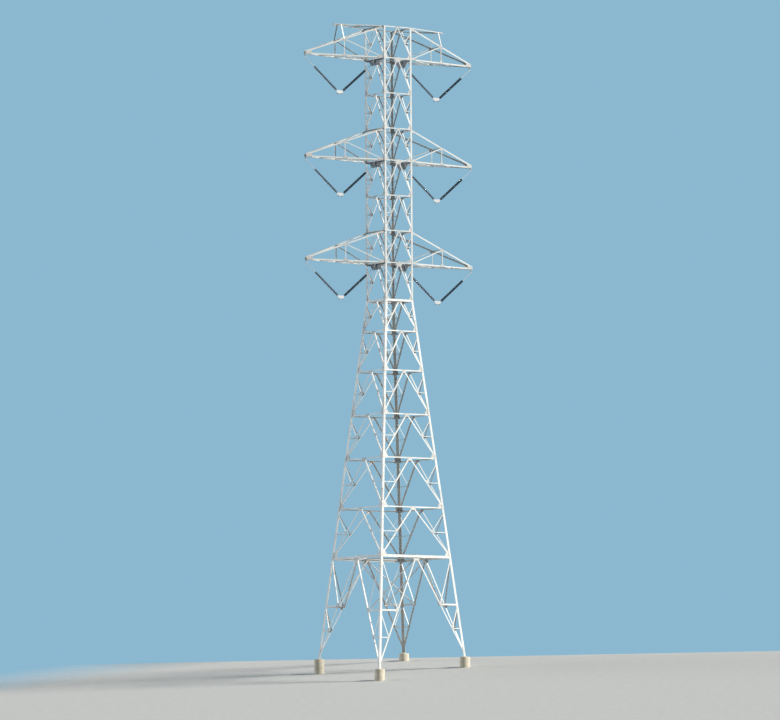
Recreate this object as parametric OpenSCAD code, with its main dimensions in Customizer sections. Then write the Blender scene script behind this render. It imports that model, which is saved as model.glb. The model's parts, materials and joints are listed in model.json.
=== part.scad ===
// Double-circuit lattice transmission pylon, as a 1:2 scale model.
// The crossarms run along X, the line runs along Y, and the ground plane is Z = 0.

/* [Tower] */
// Side of the square through the leg heels at Z = 0
base_side = 5640; // [5000:20:6400]
// Side of the straight cage that carries the crossarms
cage_side = 1720; // [1500:20:2000]
// Height of the belt, above which the leg extensions end
belt_height = 6370; // [5800:10:7000]
// Height of each of the two lowest body panels
panel_low = 2520; // [2200:10:2800]
// Height of each of the two middle body panels
panel_mid = 2240; // [2000:10:2500]
// Height of the body panel below the topmost one
panel_high = 2030; // [1800:10:2300]
// Height of the topmost body panel, under the waist
panel_waist = 1610; // [1400:10:1900]
// Height from the waist to the lowest crossarm
arm_rise = 1890; // [1600:10:2200]
// Vertical distance from one crossarm to the next
arm_pitch = 5250; // [4800:10:5800]
// Depth of a crossarm at its root
arm_depth = 1640; // [1400:10:1900]

/* [Crossarms] */
// Distance of a crossarm's tip from the tower's axis
arm_reach = 5210; // [4600:10:5800]
// Half the width of a crossarm at its tip
arm_tip_half = 76; // [72:1:90]
// Height of a crossarm at its tip, between chord centres
arm_tip_depth = 80; // [60:1:120]
// Distance of the earth-wire bracket's tip from the tower's axis
bracket_reach = 3430; // [3200:10:3700]

/* [Angle bars] */
// Flange width of a main leg's angle
leg_w = 120; // [100:1:140]
// Flange thickness of a main leg's angle
leg_t = 10; // [8:0.5:14]
// Flange width of a cage leg's angle
cage_leg_w = 95; // [90:1:120]
// Flange thickness of a cage leg's angle
cage_leg_t = 8; // [6:0.5:10]
// Flange width of the body's bracing angles
brace_w = 62; // [50:1:70]
// Flange width of the cage's bracing angles
cage_brace_w = 50; // [42:1:56]
// Flange thickness of all bracing angles
brace_t = 4; // [3:0.5:6]
// Flange width of the small redundant angles
redundant_w = 45; // [36:1:52]
// Flange width of a crossarm's chord angles
chord_w = 70; // [60:1:74]
// Flange thickness of a crossarm's chord angles
chord_t = 5; // [4:0.5:7]
// Flange width of a crossarm's web angles
web_w = 45; // [36:1:54]
// Gap between bars of neighbouring faces at a corner
corner_gap = 2; // [1:0.5:4]

/* [Footings] */
// Diameter of a concrete pier
pier_d = 520; // [460:5:600]
// Chamfer of a pier's top edge
pier_chamfer = 25; // [10:1:40]
// Height of the front left pier above the lowest ground
pier_front_left = 600; // [450:10:1900]
// Height of the front right pier above the lowest ground
pier_front_right = 1300; // [450:10:1900]
// Height of the back left pier above the lowest ground
pier_back_left = 1270; // [450:10:1900]
// Height of the back right pier above the lowest ground
pier_back_right = 1650; // [450:10:1900]
// Height of the lowest bracing bar's end above its pier
foot_clear = 230; // [180:5:320]

/* [Insulators] */
// Number of discs in one string
disc_count = 23; // [20:1:25]
// Distance from one disc to the next
disc_pitch = 77; // [70:0.5:78]
// Diameter of a disc's shed
disc_d = 140; // [120:1:150]
// Diameter of a disc's metal cap
cap_d = 54; // [40:1:60]
// Drop from the crossarm's chord to the yoke plate
string_drop = 1780; // [1650:10:1900]
// Length of the yoke plate between its string pins
yoke_w = 360; // [320:5:400]
// Distance between the two conductors of a bundle
bundle_gap = 228; // [200:2:260]

/* [Hardware] */
// Radius of the pin that a string swings on
pin_r = 11; // [9:0.5:13]
// Radial clearance of that pin in its hanger plate
pin_clear = 0.3; // [0.2:0.05:0.5]
// Drop of the swing pin below the crossarm's chord
pin_drop = 110; // [95:1:130]
// Thickness of a hanger plate
hanger_t = 16; // [12:1:20]
// Side clearance between a hanger plate and the clevis ears
ear_clear = 5; // [4:0.5:7]
// Thickness of one clevis ear
ear_t = 10; // [8:1:14]
// Thickness of the yoke plate
yoke_t = 12; // [8:1:16]
// Radius of the conductor groove in a suspension clamp
conductor_r = 9; // [7:0.5:11]
// Length of a conductor's suspension clamp
clamp_len = 160; // [130:5:200]
// Radius of the earth wire's groove in its clamp
earth_wire_r = 5; // [4:0.5:6]
// Length of an earth wire's clamp
earth_clamp_len = 100; // [80:5:120]

/* [Hidden] */

steel = [0.80, 0.81, 0.79];
concrete = [0.84, 0.79, 0.68];
porcelain = [0.22, 0.27, 0.33];
$fn = 48;

// Body panel levels from the belt to the waist
panel_heights = [panel_low, panel_low, panel_mid, panel_mid, panel_high, panel_waist];
function sum_to(list, n) = n == 0 ? 0 : list[n - 1] + sum_to(list, n - 1);
body_levels = [for (i = [0:len(panel_heights)]) belt_height + sum_to(panel_heights, i)];
waist_z = body_levels[len(panel_heights)];

// Heights of the crossarms' lower chords, and the cage rings between waist and top
arm_levels = [for (i = [0:2]) waist_z + arm_rise + i * arm_pitch];
top_z = arm_levels[2] + arm_depth;
cage_rings = [
    for (z = arm_levels) each [z, z + arm_depth, (2 * z + arm_depth + arm_pitch) / 2]
];
ring_levels = [for (z = cage_rings) if (z < top_z) z, top_z - cage_brace_w / 2];

// The legs lean in by this much for each unit of height, on both axes
cage_half = cage_side / 2;
taper = (base_side / 2 - cage_half) / waist_z;
slope_len = sqrt(1 + taper * taper);
function half_at(z) = z < waist_z ? base_side / 2 - taper * z : cage_half;

// Depths from a face's outer plane to the bars that lie inside its leg flanges
body_seat = leg_t / slope_len;
body_trim = leg_t + brace_w + corner_gap;
cage_trim = cage_leg_t + cage_brace_w + corner_gap;

pier_tops = [[pier_front_left, pier_back_left], [pier_front_right, pier_back_right]];
function pier_top(sx, sy) = pier_tops[sx > 0 ? 1 : 0][sy > 0 ? 1 : 0];
mean_pier = (pier_front_left + pier_front_right + pier_back_left + pier_back_right) / 4;
pier_at = half_at(mean_pier) - leg_w / 3;

arm_root_half = cage_half - cage_leg_w / 2;
arm_run = arm_reach - cage_half;
hanger_in = 45;
hanger_inner_x = cage_half + hanger_in;
hanger_outer_x = arm_reach - hanger_in;
string_mid_x = (hanger_inner_x + hanger_outer_x) / 2;
hanger_half = 45;
hanger_tail = 28;
ear_half = 22;
clevis_drop = 80;
yoke_h = 130;
joint_plate = 120;
plan_inset = 2 * leg_t;
seat_gap = 0.3;
// How far plates and bars reach into each other where they are welded
bite = 3;

function unit(v) = v / norm(v);

// Angle bar from p to q: its flat flange is centred on the line and faces away from inward,
// and its standing flange reaches along inward from one edge
module angle_bar(p, q, inward, w, t) {
    along = unit(q - p);
    side = unit(cross(inward, along));
    into = cross(along, side);
    multmatrix([
        [side.x, into.x, along.x, p.x],
        [side.y, into.y, along.y, p.y],
        [side.z, into.z, along.z, p.z]
    ])
    linear_extrude(norm(q - p))
    polygon([[-w / 2, 0], [w / 2, 0], [w / 2, t], [t - w / 2, t], [t - w / 2, w], [-w / 2, w]]);
}

// Plane strip along the line from p to q, between two distances to the line's left
module strip(p, q, low, high) {
    along = unit(q - p);
    left = [-along.y, along.x];
    polygon([p + low * left, q + low * left, q + high * left, p + high * left]);
}

// Point on a side's plane, from x and height to x and the distance up the slope
function on_slope(p, lean) = [p.x, p.y * sqrt(1 + lean * lean)];

// Trapezoid between two legs, with trim kept free beside each leg's heel
module between_legs(z_low, z_high, trim, lean) {
    x_low = half_at(z_low) - trim;
    x_high = half_at(z_high) - trim;
    polygon([
        for (p = [[-x_low, z_low], [x_low, z_low], [x_high, z_high], [-x_high, z_high]])
            on_slope(p, lean)
    ]);
}

// Angle bars in one plane, each [p, q, flange width]: their flat flanges lie on the XY plane
// inside the child outline, and their standing flanges rise from their left edges
module lattice(bars, widths, t) {
    linear_extrude(t)
    intersection() {
        for (b = bars) strip(b[0], b[1], -b[2] / 2, b[2] / 2);
        children();
    }
    for (w = widths)
        linear_extrude(w)
        intersection() {
            for (b = bars) if (b[2] == w) strip(b[0], b[1], w / 2 - t, w / 2);
            children();
        }
}

// Lattice of one flat side of the tower, with its bars' points given by x and height
module side_lattice(bars, widths, z_low, z_high, trim, lean, seat) {
    len_up = sqrt(1 + lean * lean);
    start = lean == 0 ? cage_half : base_side / 2;
    multmatrix([
        [1, 0, 0, 0],
        [0, lean / len_up, 1 / len_up, seat / len_up - start],
        [0, 1 / len_up, -lean / len_up, -seat * lean / len_up]
    ])
    lattice([for (b = bars) [on_slope(b[0], lean), on_slope(b[1], lean), b[2]]], widths, brace_t)
    between_legs(z_low, z_high, trim, lean);
}

// A horizontal at height z, and the chevron under its middle down to height z_low
function level_bar(z, w) = [[-half_at(z), z], [half_at(z), z], w];
function chevron(z, z_low, w) = [
    [[0, z], [half_at(z_low), z_low], w],
    [[-half_at(z_low), z_low], [0, z], w]
];

// Concrete pier, run down to the lowest ground
module footing(sx, sy) {
    h = pier_top(sx, sy);
    color(concrete)
    translate([sx * pier_at, sy * pier_at, 0]) {
        cylinder(d = pier_d, h = h - pier_chamfer);
        translate([0, 0, h - pier_chamfer])
        cylinder(d1 = pier_d, d2 = pier_d - 2 * pier_chamfer, h = pier_chamfer);
    }
}

// L-shaped outline with its heel at the origin, opening towards the tower's axis
module leg_outline(sx, sy, w, t) {
    scale([-sx, -sy])
    polygon([[0, 0], [w, 0], [w, t], [t, t], [t, w], [0, w]]);
}

// Main leg from its pier up to the waist, leaning in along both axes
module leg(sx, sy) {
    h = pier_top(sx, sy);
    color(steel)
    multmatrix([
        [1, 0, -sx * taper, sx * base_side / 2],
        [0, 1, -sy * taper, sy * base_side / 2],
        [0, 0, 1, 0]
    ])
    translate([0, 0, h])
    linear_extrude(waist_z - h) leg_outline(sx, sy, leg_w, leg_t);
}

// Upright cage leg from the waist to the top
module cage_leg(sx, sy) {
    color(steel)
    translate([sx * cage_half, sy * cage_half, waist_z])
    linear_extrude(top_z - waist_z) leg_outline(sx, sy, cage_leg_w, cage_leg_t);
}

// Right half of a leg panel: the long diagonal from the belt's middle to the foot, and the
// redundants between it and the leg
function leg_panel_half(foot_z) =
    let (
        foot = [half_at(foot_z) - body_trim / 2, foot_z],
        belt = [0, belt_height],
        knee = (belt + foot) / 2,
        knee_leg = [half_at(knee.y), knee.y],
        low = (knee + foot) / 2,
        low_leg = [half_at(low.y), low.y]
    )
    [
        [belt, foot, brace_w],
        [knee, knee_leg, redundant_w],
        [knee, [half_at(belt_height), belt_height], redundant_w],
        [low, low_leg, redundant_w],
        [low, knee_leg, redundant_w]
    ];

// The same bars on the left half, each turned round so that its left edge stays its upper one
function mirrored(bars) = [for (b = bars) [[-b[1].x, b[1].y], [-b[0].x, b[0].y], b[2]]];

// Open bracing of one side below the belt, with a foot at each end at its own height
module leg_bracing(turn, left_top, right_top) {
    bars = [
        level_bar(belt_height, brace_w),
        each leg_panel_half(right_top + foot_clear),
        each mirrored(leg_panel_half(left_top + foot_clear))
    ];
    color(steel)
    rotate([0, 0, turn])
    side_lattice(bars, [brace_w, redundant_w], min(left_top, right_top),
        belt_height + brace_w / 2, body_trim, taper, body_seat);
}

// One side of the tapered body: a horizontal at each level, and a chevron under each
module body_bracing(turn) {
    count = len(panel_heights);
    waist_bar = waist_z - brace_w / 2 - corner_gap;
    tops = [for (i = [1:count]) i == count ? waist_bar : body_levels[i]];
    bars = [
        for (i = [0:count - 1]) each [
            level_bar(tops[i], brace_w),
            each chevron(tops[i], body_levels[i], brace_w)
        ]
    ];
    color(steel)
    rotate([0, 0, turn])
    side_lattice(bars, [brace_w], belt_height + brace_w / 2 + corner_gap, waist_z - corner_gap,
        body_trim, taper, body_seat);
}

// One side of the cage: a ring bar at each level, and a chevron under each
module cage_bracing(turn) {
    lows = [waist_z, each ring_levels];
    bars = [
        for (i = [0:len(ring_levels) - 1]) each [
            level_bar(ring_levels[i], cage_brace_w),
            each chevron(ring_levels[i], lows[i], cage_brace_w)
        ]
    ];
    color(steel)
    rotate([0, 0, turn])
    side_lattice(bars, [cage_brace_w], waist_z + corner_gap, top_z, cage_trim, 0, cage_leg_t);
}

// Diamond of bars that lies on the horizontals of the four sides, with its corners at a depth
// of plan_inset behind their outer planes
module diamond(z, w) {
    reach = half_at(z) - plan_inset - w * sqrt(2) / 4;
    for (turn = [0:90:270])
        rotate([0, 0, turn])
        angle_bar([0, -reach, z], [reach, 0, z], [0, 0, 1], w, brace_t);
}

// Height at which the diamond rests on a horizontal of the leaning sides
function rest_z(z) = z + (brace_w / 2 - plan_inset * taper / slope_len) / slope_len + seat_gap;
hip_depth = body_seat + brace_w + seat_gap;
hip_inset = hip_depth * slope_len;

// Flat joint plate of width w on the inner edges of the back side's bars
module back_joint_plate(x, z, w) {
    inward = unit([0, -1, -taper]);
    up = unit([0, -taper, 1]);
    start = [x, half_at(z), z] + hip_depth * inward;
    multmatrix([
        [1, up.x, inward.x, start.x],
        [0, up.y, inward.y, start.y],
        [0, up.z, inward.z, start.z]
    ])
    translate([0, 0, brace_t / 2]) cube([w, joint_plate, brace_t], center = true);
}

// Everything on the back side from outside to the inner edges of its bars
module back_slab() {
    multmatrix([[1, 0, 0, 0], [0, 1, -taper, base_side / 2], [0, 0, 1, 0]])
    translate([-base_side, -hip_inset, 0])
    cube([2 * base_side, base_side, belt_height]);
}

// Everything below the belt on the left of the middle plane, and the gap beside that plane
module left_half() {
    translate([-base_side, -base_side, 0])
    cube([base_side + corner_gap, 2 * base_side, belt_height]);
}

// Two bars that cross above one foot, each from the knee on one side up to the belt's middle
// on the next
module hip(sx, sy) {
    foot_z = pier_top(sx, sy) + foot_clear;
    knee = [(half_at(foot_z) - body_trim / 2) / 2, (belt_height + foot_z) / 2];
    plate_w = joint_plate / 2 - corner_gap;
    belt_plate = [joint_plate / 4, belt_height - joint_plate / 2];
    knee_in = half_at(knee.y) - hip_inset;
    belt_in = half_at(belt_plate.y) - hip_inset;
    // The plane of both bars: its sides at the knees and at the belt, and its rise between them
    diagonal = 1 / sqrt(2);
    knee_side = (knee_in - knee.x) * diagonal;
    belt_side = (belt_in - belt_plate.x) * diagonal;
    knee_out = (knee_in + knee.x) * diagonal;
    rise = [(belt_in + belt_plate.x) * diagonal - knee_out, belt_plate.y - knee.y];
    up = unit(rise);
    ends = [[[-knee_side, 0], [belt_side, norm(rise)]], [[-belt_side, norm(rise)], [knee_side, 0]]];
    bars = [
        for (e = ends)
            let (reach = unit(e[1] - e[0]) * joint_plate) [e[0] - reach, e[1] + reach, brace_w]
    ];
    scale([sx, sy, 1]) {
        difference() {
            multmatrix([
                [diagonal, up.x * diagonal, -up.y * diagonal, knee_out * diagonal],
                [-diagonal, up.x * diagonal, -up.y * diagonal, knee_out * diagonal],
                [0, up.y, up.x, knee.y]
            ])
            lattice(bars, [brace_w], brace_t)
            translate([-belt_height, -joint_plate / 3])
            square([2 * belt_height, norm(rise) + 2 * joint_plate / 3]);
            for (flip = [0, 1])
                mirror([flip, -flip, 0]) {
                    back_slab();
                    left_half();
                }
        }
        for (flip = [0, 1])
            mirror([flip, -flip, 0]) {
                back_joint_plate(knee.x, knee.y, joint_plate);
                back_joint_plate(belt_plate.x, belt_plate.y, plate_w);
            }
    }
}

// Belt diamond and the four hips under it
module hip_bracing() {
    color(steel) {
        diamond(rest_z(belt_height), brace_w);
        for (sx = [-1, 1], sy = [-1, 1]) hip(sx, sy);
    }
}

// Plan diamonds at the waist and at every crossarm's lower chords
module plan_bracing() {
    color(steel) {
        diamond(rest_z(waist_z - brace_w / 2 - corner_gap), cage_brace_w);
        for (z = arm_levels) diamond(z + cage_brace_w / 2, cage_brace_w);
    }
}

// Half width and upper chord height of a crossarm at distance x from the tower's axis
function arm_half(x) = arm_root_half + (arm_tip_half - arm_root_half) * (x - cage_half) / arm_run;
arm_root_rise = arm_depth - chord_w / 2 - 2 * bite;
function arm_rise_at(x) = arm_root_rise
    + (arm_tip_depth - arm_root_rise) * (x - cage_half) / arm_run;
arm_splay = atan2(arm_root_half - arm_tip_half, arm_run);

// One upright side of a crossarm: two chords, a post and a diagonal
module arm_side() {
    tip = arm_run / cos(arm_splay);
    root = chord_w * sin(arm_splay) + seat_gap;
    post = (string_mid_x - cage_half) / cos(arm_splay);
    post_top = [post, arm_rise_at(string_mid_x)];
    chords = [
        [[tip, 0], [0, 0], chord_w],
        [[0, arm_root_rise], [tip, arm_tip_depth], chord_w]
    ];
    webs = [[[post, 0], post_top, web_w], [[0, 0], post_top, web_w]];
    translate([cage_half, arm_root_half, 0])
    rotate([0, 0, -arm_splay])
    rotate([90, 0, 0]) {
        lattice(chords, [chord_w], chord_t)
        translate([root, -chord_w / 2]) square([tip - root, arm_depth + chord_w / 2 - bite]);
        lattice(webs, [web_w], brace_t)
        translate([root, 0]) square([tip - root, arm_root_rise]);
    }
}

// Bars across a crossarm, lying on its lower chords' flanges
module arm_plan() {
    post_x = string_mid_x;
    outer_x = (post_x + arm_reach) / 2;
    post_y = arm_half(post_x);
    outer_y = arm_half(outer_x);
    root_y = arm_root_half;
    root_x = cage_half + chord_w / 2;
    bars = [
        [[post_x, post_y], [post_x, -post_y], web_w],
        [[outer_x, outer_y], [outer_x, -outer_y], web_w],
        [[root_x, -root_y], [post_x, post_y], web_w],
        [[root_x, root_y], [post_x, -post_y], web_w],
        [[post_x, -post_y], [outer_x, outer_y], web_w],
        [[outer_x, outer_y], [hanger_outer_x, -arm_half(hanger_outer_x)], web_w]
    ];
    inset = chord_t / 2;
    translate([0, 0, chord_t / 2 - chord_w / 2])
    lattice(bars, [web_w], brace_t)
    polygon([
        [root_x, -arm_half(root_x) + inset], [arm_reach - chord_w, -arm_half(arm_reach - chord_w) + inset],
        [arm_reach - chord_w, arm_half(arm_reach - chord_w) - inset], [root_x, arm_half(root_x) - inset]
    ]);
    top_y = post_y - inset;
    angle_bar([post_x, -top_y, arm_rise_at(post_x)], [post_x, top_y, arm_rise_at(post_x)], [-1, 0, 0],
        web_w, brace_t);
}

// Plate with the hole that a string's swing pin turns in, hanging from the lower chords
module hanger(x) {
    top = bite - chord_w / 2;
    difference() {
        translate([x - hanger_t / 2, -hanger_half, -pin_drop - hanger_tail])
        cube([hanger_t, 2 * hanger_half, pin_drop + hanger_tail + top]);
        translate([x - hanger_t, 0, -pin_drop])
        rotate([0, 90, 0]) cylinder(r = pin_r + pin_clear, h = 2 * hanger_t);
    }
}

// Bar across a crossarm's root, flat against the cage legs, with its chord's height at z
module root_bar(z, way) {
    end = arm_root_half + cage_leg_w / 2;
    angle_bar([cage_half, -way * end, z], [cage_half, way * end, z], [1, 0, 0],
        chord_w + 2 * bite, chord_t);
}

// Crossarm towards +X, with its lower chords' centre lines at height 0
module arm_body() {
    arm_side();
    mirror([0, 1, 0]) arm_side();
    arm_plan();
    root_bar(0, 1);
    root_bar(arm_root_rise - bite, -1);
    tip_plate_l = 3 * chord_w;
    translate([arm_reach - tip_plate_l, -chord_t - bite, bite - chord_w / 2])
    cube([tip_plate_l - bite, 2 * (chord_t + bite), arm_tip_depth + chord_w - 2 * bite]);
    tip_bar_x = arm_reach - chord_w;
    translate([tip_bar_x, bite - arm_tip_half, -bite - chord_w / 2])
    cube([chord_w - 2 * bite, 2 * (arm_tip_half - bite), chord_t + bite / 2]);
    hanger(hanger_inner_x);
    hanger(hanger_outer_x);
}

// Earth-wire bracket on the top crossarm, level with the tower's top
module earth_wire_bracket() {
    tip_half = web_w + bite;
    run = bracket_reach - cage_half;
    function bracket_half(x) = arm_root_half
        + (tip_half - arm_root_half) * (x - cage_half) / run;
    post_x = string_mid_x;
    post_y = bracket_half(post_x);
    mid_x = (cage_half + post_x) / 2;
    mid_y = bracket_half(mid_x);
    strut_x = bracket_reach - web_w;
    bars = [
        [[cage_half, arm_root_half], [bracket_reach, tip_half], web_w],
        [[bracket_reach, -tip_half], [cage_half, -arm_root_half], web_w],
        [[post_x, -post_y], [post_x, post_y], web_w],
        [[mid_x, -mid_y], [mid_x, mid_y], web_w],
        [[cage_half, -arm_root_half], [mid_x, mid_y], web_w],
        [[mid_x, mid_y], [post_x, -post_y], web_w]
    ];
    translate([0, 0, arm_depth])
    mirror([0, 0, 1])
    lattice(bars, [web_w], brace_t)
    translate([cage_half, -cage_side / 2]) square([run, cage_side]);
    for (flip = [0, 1])
        mirror([0, flip, 0])
        angle_bar([post_x, arm_half(post_x) - bite, arm_rise_at(post_x)],
            [post_x, post_y, arm_depth - web_w / 3], [1, 0, 0], web_w, brace_t);
    translate([strut_x - web_w / 2, -tip_half, arm_depth - chord_t - bite])
    cube([web_w, 2 * tip_half, chord_t]);
    strap_h = 2 * web_w;
    clamp_z = arm_depth - strap_h;
    difference() {
        union() {
            translate([strut_x - chord_t, -ear_half, clamp_z])
            cube([2 * chord_t, 2 * ear_half, strap_h - 2 * bite]);
            translate([strut_x, earth_clamp_len / 2, clamp_z])
            rotate([90, 0, 0]) cylinder(r = 3 * earth_wire_r, h = earth_clamp_len);
        }
        translate([strut_x, earth_clamp_len, clamp_z])
        rotate([90, 0, 0]) cylinder(r = earth_wire_r, h = 2 * earth_clamp_len);
    }
}

// Places a crossarm, or what hangs from it, at one level and on one side
module on_arm(level, side) {
    translate([0, 0, arm_levels[level]])
    mirror([side < 0 ? 1 : 0, 0, 0]) children();
}

module crossarm(level, side) {
    color(steel)
    on_arm(level, side) {
        arm_body();
        if (level == 2) earth_wire_bracket();
    }
}

// The string's line, seen along Y: from the clevis block down to the yoke's pin
string_top = [hanger_outer_x, -pin_drop - clevis_drop];
string_foot = [string_mid_x + yoke_w / 2, -string_drop];
string_line = string_foot - string_top;
string_angle = atan2(-string_line.y, -string_line.x);
string_len = norm(string_line);
disc_run = disc_count * disc_pitch;
tail_link = 60;
top_link = string_len - disc_run - tail_link;

// Outline of one disc: cap, shed and the pin below it, from its lower end up
function disc_profile(z) = [
    [cap_d * 0.22, z],
    [cap_d * 0.3, z + disc_pitch * 0.28],
    [disc_d / 2, z + disc_pitch * 0.3],
    [disc_d / 2, z + disc_pitch * 0.38],
    [cap_d / 2, z + disc_pitch * 0.56],
    [cap_d / 2, z + disc_pitch * 0.92],
    [cap_d * 0.22, z + disc_pitch]
];

// String of discs standing on its lower end
module disc_string() {
    rotate_extrude()
    polygon([
        [0, 0],
        for (i = [0:disc_count - 1]) each disc_profile(i * disc_pitch),
        [0, disc_run]
    ]);
}

// Puts what stands on a string's lower end onto the outer string's line
module on_string() {
    translate([string_foot.x, 0, string_foot.y])
    rotate([0, 90 - string_angle, 0]) children();
}

module outer_and_inner() {
    children();
    translate([2 * string_mid_x, 0, 0]) mirror([1, 0, 0]) children();
}

module insulators(level, side) {
    color(porcelain)
    on_arm(level, side)
    outer_and_inner() on_string() translate([0, 0, tail_link]) disc_string();
}

// Clevis on the swing pin, with the long link down to the first disc
module top_fitting() {
    ear_in = hanger_t / 2 + ear_clear;
    ear_out = ear_in + ear_t;
    translate([hanger_outer_x, 0, -pin_drop]) {
        for (s = [-1, 1])
            translate([s * (ear_in + ear_t / 2), 0, (ear_half - clevis_drop) / 2])
            cube([ear_t, 2 * ear_half, clevis_drop + ear_half], center = true);
        translate([-ear_out, -ear_half, -clevis_drop - ear_half / 2])
        cube([2 * ear_out, 2 * ear_half, 2 * ear_half]);
        translate([-ear_out - ear_t / 2, 0, 0])
        rotate([0, 90, 0]) cylinder(r = pin_r, h = 2 * ear_out + ear_t);
    }
    link_w = 2 * pin_r;
    on_string() translate([0, 0, tail_link + disc_run]) cylinder(d = link_w, h = top_link);
}

// Suspension clamp for one conductor, hanging from the yoke plate at x
module suspension_clamp(x) {
    body_r = 2 * conductor_r;
    z = -string_drop - yoke_h - body_r;
    difference() {
        union() {
            translate([x - yoke_t / 2, -ear_half, z]) cube([yoke_t, 2 * ear_half, 2 * body_r]);
            translate([x, clamp_len / 2, z])
            rotate([90, 0, 0]) cylinder(r = body_r, h = clamp_len);
        }
        translate([x, clamp_len, z])
        rotate([90, 0, 0]) cylinder(r = conductor_r, h = 2 * clamp_len);
    }
}

module string_fittings(level, side) {
    low_half = bundle_gap / 2 + conductor_r * 3;
    high_half = yoke_w / 2 + ear_half;
    color(steel)
    on_arm(level, side) {
        outer_and_inner() {
            top_fitting();
            on_string() cylinder(r = pin_r, h = tail_link);
        }
        translate([string_mid_x, yoke_t / 2, -string_drop])
        rotate([90, 0, 0])
        linear_extrude(yoke_t)
        polygon([
            [-high_half, ear_half], [high_half, ear_half], [high_half, -ear_half],
            [low_half, -yoke_h], [-low_half, -yoke_h], [-high_half, -ear_half]
        ]);
        for (s = [-1, 1]) suspension_clamp(string_mid_x + s * bundle_gap / 2);
    }
}

footing(-1, -1);  // footing_front_left
footing(1, -1);  // footing_front_right
footing(-1, 1);  // footing_back_left
footing(1, 1);  // footing_back_right
leg(-1, -1);  // leg_front_left
leg(1, -1);  // leg_front_right
leg(-1, 1);  // leg_back_left
leg(1, 1);  // leg_back_right
cage_leg(-1, -1);  // cage_leg_front_left
cage_leg(1, -1);  // cage_leg_front_right
cage_leg(-1, 1);  // cage_leg_back_left
cage_leg(1, 1);  // cage_leg_back_right
leg_bracing(0, pier_front_left, pier_front_right);  // leg_bracing_front
leg_bracing(90, pier_front_right, pier_back_right);  // leg_bracing_right
leg_bracing(180, pier_back_right, pier_back_left);  // leg_bracing_back
leg_bracing(270, pier_back_left, pier_front_left);  // leg_bracing_left
body_bracing(0);  // body_bracing_front
body_bracing(90);  // body_bracing_right
body_bracing(180);  // body_bracing_back
body_bracing(270);  // body_bracing_left
cage_bracing(0);  // cage_bracing_front
cage_bracing(90);  // cage_bracing_right
cage_bracing(180);  // cage_bracing_back
cage_bracing(270);  // cage_bracing_left
hip_bracing();
plan_bracing();
crossarm(0, -1);  // crossarm_bottom_left
crossarm(0, 1);  // crossarm_bottom_right
crossarm(1, -1);  // crossarm_middle_left
crossarm(1, 1);  // crossarm_middle_right
crossarm(2, -1);  // crossarm_top_left
crossarm(2, 1);  // crossarm_top_right
insulators(0, -1);  // insulators_bottom_left
insulators(0, 1);  // insulators_bottom_right
insulators(1, -1);  // insulators_middle_left
insulators(1, 1);  // insulators_middle_right
insulators(2, -1);  // insulators_top_left
insulators(2, 1);  // insulators_top_right
string_fittings(0, -1);  // string_fittings_bottom_left
string_fittings(0, 1);  // string_fittings_bottom_right
string_fittings(1, -1);  // string_fittings_middle_left
string_fittings(1, 1);  // string_fittings_middle_right
string_fittings(2, -1);  // string_fittings_top_left
string_fittings(2, 1);  // string_fittings_top_right
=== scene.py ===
"""Looks of the half-scale lattice transmission pylon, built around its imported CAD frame."""

import json
import math
from collections import namedtuple

import bmesh
import bpy
from mathutils import Matrix, Quaternion, Vector


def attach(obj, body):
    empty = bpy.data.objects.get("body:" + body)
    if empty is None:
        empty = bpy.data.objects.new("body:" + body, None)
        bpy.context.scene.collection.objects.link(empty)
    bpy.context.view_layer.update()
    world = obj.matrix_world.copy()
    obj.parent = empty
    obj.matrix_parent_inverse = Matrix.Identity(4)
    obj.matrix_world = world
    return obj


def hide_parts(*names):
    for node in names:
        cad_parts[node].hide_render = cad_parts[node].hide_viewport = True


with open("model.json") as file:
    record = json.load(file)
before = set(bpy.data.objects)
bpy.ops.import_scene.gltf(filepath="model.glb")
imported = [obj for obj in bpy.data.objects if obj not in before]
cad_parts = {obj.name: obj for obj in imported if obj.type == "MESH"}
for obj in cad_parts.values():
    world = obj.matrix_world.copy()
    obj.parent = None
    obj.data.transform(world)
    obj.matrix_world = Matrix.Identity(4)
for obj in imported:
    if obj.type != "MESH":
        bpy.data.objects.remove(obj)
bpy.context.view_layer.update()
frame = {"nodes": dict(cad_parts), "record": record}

# Driving sizes of the CAD part, in metres

# Half the square through the legs' heels at the bottom, and half the cage's side
BASE_HALF, CAGE_HALF = 2.82, 0.86
# Height of the belt, and of the body panels from there up to the waist
BELT = 6.37
PANELS = (2.52, 2.52, 2.24, 2.24, 2.03, 1.61)
# From the waist to the lowest crossarm, and from one crossarm to the next
FIRST_ARM, ARM_PITCH = 1.89, 5.25
# Depth of a crossarm at the cage, how far its tip is from the tower's axis, and its size at the tip
ARM_DEPTH, ARM_REACH = 1.64, 5.21
ARM_TIP_HALF, ARM_TIP_DEPTH = 0.076, 0.08
# Flanges of the angles: their width and their thickness
LEG_W, LEG_T = 0.12, 0.01
CAGE_LEG_W, CAGE_LEG_T = 0.095, 0.008
BRACE_W, CAGE_BRACE_W, BRACE_T = 0.062, 0.05, 0.004
# Flange of a crossarm's chords, and how far the upper ones' edge stays below its full depth
CHORD_W, CHORD_UNDER = 0.07, 0.006
# Gap between bars, and height of the lowest bar's end above its pier
GAP, FOOT_CLEAR = 0.002, 0.23
# Heights of the piers at the corners, given by the signs of x and y
PIERS = {(-1, -1): 0.6, (1, -1): 1.3, (-1, 1): 1.27, (1, 1): 1.65}
# V-strings: their discs, the drop to the yoke plate's bolts, the plate, and the clamps' distance
DISC_COUNT, DISC_PITCH = 23, 0.077
STRING_DROP, YOKE_W, YOKE_H, YOKE_T, BUNDLE_GAP = 1.78, 0.36, 0.13, 0.012, 0.228
# From the crossarm to the swing pins, on to the string's top, and from its foot to the first disc
PIN_DROP, CLEVIS_DROP, TAIL_LINK = 0.11, 0.08, 0.06
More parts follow.
